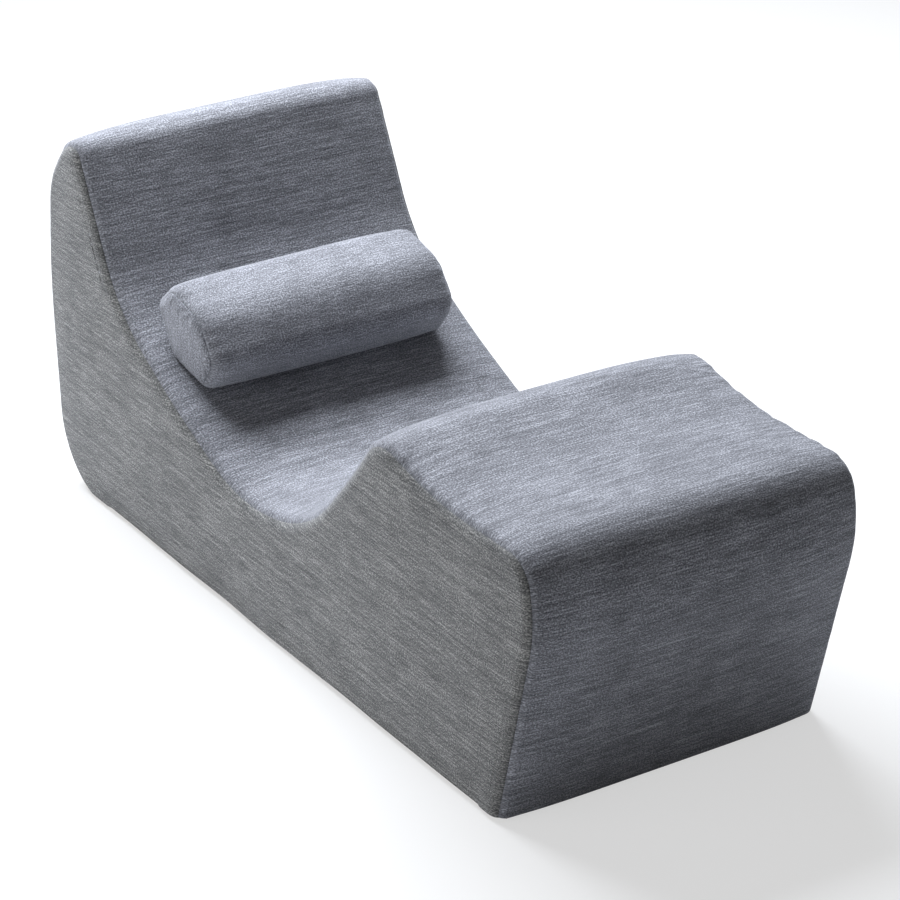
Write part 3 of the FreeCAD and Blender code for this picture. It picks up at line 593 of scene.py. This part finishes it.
def makeBolster():
    # Sleeve and ends share one set of rows round the section, so their seams meet point for point
    (wrapX, wrapStep, wrapAway), (endX, endStep, endAway) = bolsterColumns()
    rows, zipMiddle = bolsterRows()
    x = np.concatenate([-wrapX[:0:-1], wrapX])
    step = np.concatenate([wrapStep[:0:-1], wrapStep])
    away = np.concatenate([wrapAway[:0:-1], wrapAway])
    points, normals = bolsterSurface(x, step, rows)
    s, across = np.meshgrid(rows, x, indexing="ij")
    reach = np.repeat(away[None, :], len(rows), axis=0)
    share = np.clip((across + bolster["fullHalf"]) / (2 * bolster["fullHalf"]), 0, 1)
    full = bolster["full"] * np.sin(math.pi * share) ** 0.5
    slow = bolster["slow"][0] * softNoise(s / 0.07, across / 0.14 + 5, 80)
    slow = slow + bolster["slow"][1] * softNoise(s / 0.03, across / 0.10, 81)
    side = np.where(across > 0, 30.0, 0.0)
    fine = softNoise(s / bolster["gatherPitch"], reach / 0.05 + side, 82)
    fade = np.exp(-reach / bolster["gatherReach"]) * (1 - np.exp(-(reach / 0.005) ** 2))
    rise = (full + slow) * np.clip(reach / 0.04, 0, 1) + bolster["gathers"] * fine * fade
    fromZip = np.abs(s - zipMiddle) - bolster["slotHalf"]
    inZip = smoothStep(bolster["zipHalf"] + 0.006, bolster["zipHalf"] - 0.002, np.abs(across))
    level = smoothStep(bolster["lipReach"], 0.03, fromZip)
    rise = rise * (1 - inZip * (1 - level))
    rise = rise - inZip * bolster["zipFold"] * np.exp(-(np.clip(fromZip, 0, None) / 0.0011) ** 2)
    points[..., 1:] += normals[:, None, :] * rise[..., None]
    points[..., 0] += bolster["offset"]
    points = heldOffDeck(points, bolster["rest"])
    faces = gridFaces(len(rows), len(x), closed=True)
    centre = (np.roll(rows, -1) + rows) / 2
    slot = np.abs(centre - zipMiddle) < bolster["slotHalf"]
    columnCentre = (x[1:] + x[:-1]) / 2
    opening = slot[:, None] & (np.abs(columnCentre) < bolster["zipHalf"])[None, :]
    faces = faces[~opening.ravel()]
    uv = np.stack([across, s], axis=2)
    # Mask for painted shade along the bolster's seams
    seamShade = np.exp(-reach / 0.010)
    made = [makePiece("bolsterWrap", points, faces, uv, flip=True, fields={"seamNear": seamShade})]
    for side, name in ((-1, "bolsterEndLeft"), (1, "bolsterEndRight")):
        ringPoints, _ = bolsterSurface(endX, endStep, rows)
        s = np.repeat(rows[:, None], len(endX), axis=1)
        reach = np.repeat(endAway[None, :], len(rows), axis=0)
        fine = softNoise(s / bolster["gatherPitch"] + 2 * reach / 0.02, reach / 0.05, 90 + side)
        fade = np.exp(-reach / bolster["endGatherReach"]) * (1 - np.exp(-(reach / 0.004) ** 2))
        ringPoints[..., 0] += 1.1 * bolster["gathers"] * fine * fade
        rim = ringPoints[:, -1]
        middle = rim.mean(axis=0)
        inner = np.linspace(0, 1, 22)[1:]
        shares = inner[None, :, None]
        fan = rim[:, None, :] * (1 - shares) + middle[None, None, :] * shares
        bulge = bolster["endBulge"] * (1 - (1 - inner) ** 2)
        fan[..., 0] += bulge[None, :]
        dents = 0.0005 * softNoise(fan[..., 1] / 0.03, fan[..., 2] / 0.03, 95 + side)
        fan[..., 0] += dents * inner[None, :]
        endPoints = np.concatenate([ringPoints, fan], axis=1)
        endPoints[:, -1] = endPoints[:, -1].mean(axis=0)
        endPoints[..., 0] *= side
        endPoints[..., 0] += bolster["offset"]
        endPoints = heldOffDeck(endPoints, bolster["rest"])
        seamShade = np.exp(-np.concatenate([reach, np.full(fan.shape[:2], 0.05)], axis=1) / 0.010)
        uv = np.stack([endPoints[..., 2], endPoints[..., 1]], axis=2)
        faces = gridFaces(*endPoints.shape[:2], closed=True)
        end = makePiece(name, endPoints, faces, uv, flip=side > 0, fields={"seamNear": seamShade})
        mergeDoubles(end)
        made.append(end)
    return made


bolsterWrap, bolsterEndLeft, bolsterEndRight = makeBolster()
print("bolster sewn:", len(bolsterWrap.data.polygons))


# The black cloth under the board

bottomCloth = {
    "halfWidth": 0.300,
    "front": -0.700,
    "rear": 0.646,
    "height": 0.0053,
    "sag": 0.0002,
}


def makeBottomCloth(setup):
    # A flat sheet whose height falls a little between its edges, and whose edge rises into the hem
    share = np.linspace(-1, 1, 61)
    x, y = np.meshgrid(setup["halfWidth"] * share,
                       np.linspace(setup["front"], setup["rear"], 121), indexing="ij")
    edge = np.minimum(setup["halfWidth"] - np.abs(x), np.minimum(y - setup["front"], setup["rear"] - y))
    ripple = softNoise((x + y) / 0.03, (x - y) / 0.03, 130)
    z = setup["height"] - setup["sag"] * smoothStep(0, 0.04, edge) + 0.0001 * ripple
    points = np.stack([x, y, z], axis=2)
    return makePiece("bottomCloth", points, gridFaces(*x.shape), points[..., :2], flip=True)


underCloth = makeBottomCloth(bottomCloth)
print("bottom cloth laid")


# Materials

class Wire:
    # A socket that can be added and multiplied; each sign adds one Math node
    def __init__(self, paint, socket):
        self.paint = paint
        self.socket = socket

    def __add__(self, other):
        return self.paint.maths("ADD", self, other)

    def __mul__(self, other):
        return self.paint.maths("MULTIPLY", self, other)

    def __rmul__(self, other):
        return self.paint.maths("MULTIPLY", other, self)


class Paint:
    def __init__(self, name):
        self.material = bpy.data.materials.new(name)
        self.material.use_nodes = True
        self.tree = self.material.node_tree
        self.tree.nodes.clear()

    def node(self, kind, settings=None, inputs=None, output=0):
        # Any node: its type, its settings, then values or wires for its sockets
        made = self.tree.nodes.new(kind)
        for key, value in (settings or {}).items():
            if key == "stops":
                ramp = made.color_ramp
                while len(ramp.elements) > 1:
                    ramp.elements.remove(ramp.elements[-1])
                ramp.elements[0].position = value[0][0]
                ramp.elements[0].color = value[0][1]
                for place, colour in value[1:]:
                    ramp.elements.new(place).color = colour
            else:
                setattr(made, key, value)
        for key, value in (inputs or {}).items():
            if isinstance(value, Wire):
                self.tree.links.new(value.socket, made.inputs[key])
            else:
                made.inputs[key].default_value = value
        return Wire(self, made.outputs[output]) if len(made.outputs) else made

    def maths(self, operation, a, b):
        return self.node("ShaderNodeMath", {"operation": operation}, {0: a, 1: b})

    def mixed(self, factor, a, b):
        return self.node("ShaderNodeMix", {"data_type": "RGBA"}, {0: factor, 6: a, 7: b}, output=2)

    def remapped(self, value, low, high, newLow, newHigh):
        return self.node("ShaderNodeMapRange", {}, {0: value, 1: low, 2: high, 3: newLow, 4: newHigh})

    def stretched(self, where, scale):
        return self.node("ShaderNodeMapping", {}, {"Vector": where, "Scale": scale})

    def bumped(self, height, strength, distance):
        return self.node("ShaderNodeBump", {}, {"Height": height, "Strength": strength,
                                                "Distance": distance})

    def noise(self, where, scale, detail=2.0, roughness=0.5):
        return self.node("ShaderNodeTexNoise", {}, {"Vector": where, "Scale": scale, "Detail": detail,
                                                   "Roughness": roughness})

    def finished(self, inputs):
        shader = self.node("ShaderNodeBsdfPrincipled", {}, inputs)
        self.node("ShaderNodeOutputMaterial", {}, {"Surface": shader})
        return self.material


def linear(red, green, blue):
    # A colour written as screen numbers from 0 to 255, as linear light: s / 12.92 for dark ones, and
    # ((s + 0.055) / 1.055)^2.4 for the others
    return tuple((c / 255 / 12.92 if c < 10.3 else ((c / 255 + 0.055) / 1.055) ** 2.4)
                 for c in (red, green, blue)) + (1.0,)


chenille = {
    "yarn": 0.0026,           # one rib of the weave, in metres
    "pick": 0.0030,           # one crossing along a rib
    "slubLength": 0.030,
    "slubHeight": 0.0018,
    "longSlubLength": 0.12,
    "longSlubHeight": 0.0028,
    "bandLength": 0.22,
    "bandHeight": 0.010,
}


def chenilleCloth(name, dark, middle, light, sheen, streak):
    # Ribbed chenille: soft ribs, broken by picks, with slubs along the ribs and a mottled pile. A streak
    # below 1 weakens the long slubs and bands, and half of what they lose is added as an even tone.
    paint = Paint(name)
    uv = paint.node("ShaderNodeUVMap", {"uv_map": "clothUv"})
    seamShade = paint.node("ShaderNodeAttribute", {"attribute_name": "seamNear"}, output=2)

    def stretchedNoise(length, height, detail):
        return paint.noise(paint.stretched(uv, (1 / length, 1 / height, 1)), 1.0, detail)

    slub = stretchedNoise(chenille["slubLength"], chenille["slubHeight"], 1.5)
    longSlub = stretchedNoise(chenille["longSlubLength"], chenille["longSlubHeight"], 1.0)
    band = stretchedNoise(chenille["bandLength"], chenille["bandHeight"], 2.0)
    pile = paint.noise(uv, 11.0, 3.0, 0.55)
    nap = paint.noise(uv, 620.0, 1.0)
    dots = stretchedNoise(chenille["pick"], chenille["yarn"], 0.0)
    tone = 0.20 * slub + 0.18 * streak * longSlub + 0.12 * streak * band
    tone = tone + 0.08 * pile + 0.26 * dots + 0.16 * nap
    tone = tone + 0.15 * (1 - streak)
    colour = paint.node("ShaderNodeValToRGB",
                        {"stops": [(0.38, dark), (0.50, middle), (0.62, light)]}, {0: tone})
    # Painted shade: near each seam the colour is mixed up to 35% towards the dark stop, standing for the
    # shade in the seam's groove
    colour = paint.mixed(seamShade * 0.35, colour, dark)
    along = paint.node("ShaderNodeSeparateXYZ", {}, {0: uv}, output=1)
    ribs = paint.maths("SINE", along * (2 * math.pi / chenille["yarn"]) + slub * 2.5, 0.0)
    height = ribs * 0.14 + dots * 0.6 + slub * 0.4 + longSlub * 0.5 * streak + nap * 0.2
    normal = paint.bumped(height, 0.45, 0.0009)
    return paint.finished({"Base Color": colour, "Roughness": 0.92, "Normal": normal,
                           "Sheen Weight": sheen, "Sheen Roughness": 0.5,
                           "Sheen Tint": (0.86, 0.88, 0.95, 1), "Specular IOR Level": 0.25})


# Painted light: these three are one chenille. The strip and the bolster carry a cool, slightly lighter
# tint, which is the top lamp's colour painted in. The side panels get a darker, neutral copy, which is
# painted shade of the less lit sides.
coolLitStripCloth = chenilleCloth("chenilleStripCoolLit", linear(62, 63, 67), linear(117, 118, 124),
                           linear(186, 188, 196), 0.30, 0.8)
shadedSideCloth = chenilleCloth("chenilleSideShaded", linear(54, 54, 54), linear(106, 106, 105),
                          linear(178, 177, 174), 0.20, 0.8)
coolLitBolsterCloth = chenilleCloth("chenilleBolsterCoolLit", linear(62, 63, 67), linear(117, 118, 124),
                             linear(186, 188, 196), 0.30, 0.3)


def speckled(name, base, other, scale, roughness, bump, metallic=0.0):
    # Two tones mixed by noise on Object coordinates, which also gives the relief
    paint = Paint(name)
    where = paint.node("ShaderNodeTexCoord", {}, output=3)
    grain = paint.noise(where, scale, 4.0, 0.6)
    fine = paint.noise(where, scale * 6.3, 2.0)
    factor = paint.remapped(grain * 0.7 + fine * 0.3, 0.35, 0.65, 0.0, 1.0)
    colour = paint.mixed(factor, base, other)
    rough = paint.remapped(fine, 0.3, 0.7, roughness - 0.06, roughness + 0.06)
    normal = paint.bumped(grain + fine * 0.4, bump, 0.001)
    return paint.finished({"Base Color": colour, "Roughness": rough, "Metallic": metallic,
                           "Normal": normal})


def layeredWood(name, light, dark, layers):
    # Wood whose tone runs in long grain along y, with thin glued layers across x for plywood
    paint = Paint(name)
    where = paint.node("ShaderNodeTexCoord", {}, output=3)
    grain = paint.noise(paint.stretched(where, (60, 3, 60)), 1.0, 5.0, 0.6)
    pores = paint.noise(paint.stretched(where, (700, 30, 700)), 1.0, 2.0)
    if layers:
        across = paint.node("ShaderNodeSeparateXYZ", {}, {0: where}, output=0)
        ply = paint.maths("SINE", across * (2 * math.pi / layers), 0.0)
        tone = grain * 0.7 + ply * 0.12 + pores * 0.15
    else:
        tone = grain * 0.8 + pores * 0.2
    colour = paint.node("ShaderNodeValToRGB", {"stops": [(0.3, dark), (0.7, light)]}, {0: tone})
    normal = paint.bumped(tone, 0.25, 0.0006)
    return paint.finished({"Base Color": colour, "Roughness": 0.62, "Normal": normal})


def wovenBand(name, dark, light, pitch):
    # Elastic webbing or tape: ribs along and across at the yarn's pitch
    paint = Paint(name)
    where = paint.node("ShaderNodeTexCoord", {}, output=3)
    x = paint.node("ShaderNodeSeparateXYZ", {}, {0: where}, output=0)
    y = paint.node("ShaderNodeSeparateXYZ", {}, {0: where}, output=1)
    turns = 2 * math.pi / pitch
    weave = paint.maths("SINE", x * turns, 0.0) * paint.maths("SINE", y * turns, 0.0)
    fuzz = paint.noise(where, 900.0, 1.0)
    factor = paint.remapped(weave * 0.5 + fuzz, 0.0, 1.0, 0.0, 1.0)
    colour = paint.mixed(factor, dark, light)
    normal = paint.bumped(weave + fuzz * 0.5, 0.4, 0.0004)
    return paint.finished({"Base Color": colour, "Roughness": 0.85, "Normal": normal})


finishes = {
    "plywood": layeredWood("birchPlywood", linear(214, 186, 144), linear(176, 141, 98), 0.0024),
    "solidWood": layeredWood("pineRail", linear(222, 190, 142), linear(188, 146, 96), None),
    "steel": speckled("zincSteel", linear(168, 170, 172), linear(120, 122, 126), 240.0, 0.34, 0.05, 1.0),
    "webbing": wovenBand("elasticWebbing", linear(38, 38, 40), linear(92, 92, 94), 0.0030),
    "foam": speckled("seatFoam", linear(226, 216, 186), linear(204, 190, 152), 320.0, 0.95, 0.5),
    "wadding": speckled("polyesterWadding", linear(240, 240, 238), linear(214, 214, 212), 90.0, 0.95,
                        0.6),
    "glide": speckled("glidePlastic", linear(34, 34, 36), linear(22, 22, 24), 300.0, 0.42, 0.08),
    "felt": speckled("nonwovenCloth", linear(32, 32, 34), linear(15, 15, 17), 420.0, 0.9, 0.3),
    "zipTape": wovenBand("zipTape", linear(52, 54, 60), linear(86, 88, 96), 0.0012),
    "zipMetal": speckled("zipMetal", linear(118, 118, 120), linear(82, 82, 86), 300.0, 0.32, 0.06, 1.0),
}
print("materials mixed")

nodeFinishes = {
    "plywood": ("side_frame_left", "side_frame_right", "base_board"),
    "solidWood": ("head_rail", "back_rail", "lumbar_rail", "seat_rail", "thigh_rail", "leg_rest_rail",
                  "toe_rail", "rear_rail", "front_rail", "corner_blocks"),
    "steel": ("frame_screws", "glide_nails"),
    "webbing": ("webbing_back", "webbing_seat", "webbing_leg_rest"),
    "foam": ("foam_front", "foam_leg_rest", "foam_seat", "foam_back", "foam_rear", "side_pad_left",
             "side_pad_right", "bolster_core"),
    "wadding": ("wadding_wrap",),
    "glide": ("floor_glides",),
    "zipTape": ("bolster_zip_tapes",),
    "zipMetal": ("bolster_zip_slider", "bolster_zip_pull"),
}
for finish, names in nodeFinishes.items():
    for name in names:
        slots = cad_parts[name].data.materials
        slots.clear()
        slots.append(finishes[finish])


def dress(obj, material, body, slot, *nodes, fill=None):
    # A fill is given for padded pieces only; it is not used.
    obj.data.materials.append(material)
    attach(obj, body)
    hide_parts(*nodes)


dress(strip, coolLitStripCloth, "chaise", "upholstery", "cover_top_panel", "wadding_wrap", fill=0.9)
dress(sideLeft, shadedSideCloth, "chaise", "side_upholstery", "cover_side_left", fill=0.9)
dress(sideRight, shadedSideCloth, "chaise", "side_upholstery", "cover_side_right", fill=0.9)
dress(bolsterWrap, coolLitBolsterCloth, "bolster", "bolster_upholstery", "bolster_wrap", fill=0.85)
dress(bolsterEndLeft, coolLitBolsterCloth, "bolster", "bolster_upholstery", "bolster_end_left", fill=0.85)
dress(bolsterEndRight, coolLitBolsterCloth, "bolster", "bolster_upholstery", "bolster_end_right", fill=0.85)
dress(underCloth, finishes["felt"], "chaise", "nonwoven_cloth", "bottom_cloth")
print("pieces dressed and riding")


# Floor, lamps and world

studio = {
    "floorHalf": 14,
    "floorColour": (0.88, 0.88, 0.88, 1),
    "floorShowsWhite": 0.60,  # share of pure white that the camera sees on the floor
    "worldLight": 0.14,
}
lamps = {
    # name: place, target, size, power and colour
    "topLamp": ((0.1, 1.78, 2.95), (0.0, 0.0, 0.3), (3.0, 1.6), 300, (0.90, 0.94, 1.0)),
    "sideLamp": ((-3.4, 0.1, 1.3), (0.0, 0.0, 0.3), (2.4, 1.6), 20, (1, 1, 1)),
}


def makeFloor(setup):
    # A wide plain sheet at the glides' feet
    share = np.linspace(-1, 1, 3)
    x, y = np.meshgrid(setup["floorHalf"] * share, setup["floorHalf"] * share, indexing="ij")
    points = np.stack([x, y, np.zeros_like(x)], axis=2)
    obj = makePiece("studioFloor", points, gridFaces(3, 3), points[..., :2])
    paint = Paint("paleFloor")
    seen = paint.node("ShaderNodeLightPath")
    matt = paint.node("ShaderNodeBsdfDiffuse", {}, {"Color": setup["floorColour"]})
    white = paint.node("ShaderNodeEmission", {}, {"Color": (1, 1, 1, 1), "Strength": 1.0})
    both = paint.node("ShaderNodeMixShader", {}, {0: seen * setup["floorShowsWhite"], 1: matt, 2: white})
    paint.node("ShaderNodeOutputMaterial", {}, {"Surface": both})
    obj.data.materials.append(paint.material)


def makeLamp(name, place, target, size, power, colour):
    data = bpy.data.lights.new(name, "AREA")
    data.shape = "RECTANGLE"
    data.size, data.size_y = size
    data.energy = power
    data.color = colour
    obj = bpy.data.objects.new(name, data)
    bpy.context.scene.collection.objects.link(obj)
    look = Vector(target) - Vector(place)
    obj.location = place
    obj.rotation_euler = look.to_track_quat("-Z", "Y").to_euler()


def makeWorld(setup):
    # The camera sees a white world, and everything else gets its weaker light
    world = bpy.data.worlds.new("studioWorld")
    world.use_nodes = True
    bpy.context.scene.world = world
    tree = world.node_tree
    tree.nodes.clear()
    path = tree.nodes.new("ShaderNodeLightPath")
    background = tree.nodes.new("ShaderNodeBackground")
    mix = tree.nodes.new("ShaderNodeMix")
    output = tree.nodes.new("ShaderNodeOutputWorld")
    mix.data_type = "FLOAT"
    mix.inputs[2].default_value = setup["worldLight"]
    mix.inputs[3].default_value = 1.0
    tree.links.new(path.outputs["Is Camera Ray"], mix.inputs[0])
    tree.links.new(mix.outputs[0], background.inputs["Strength"])
    background.inputs["Color"].default_value = (1, 1, 1, 1)
    tree.links.new(background.outputs[0], output.inputs["Surface"])


makeFloor(studio)
makeWorld(studio)
for lampName, lamp in lamps.items():
    makeLamp(lampName, *lamp)
print("studio lit")
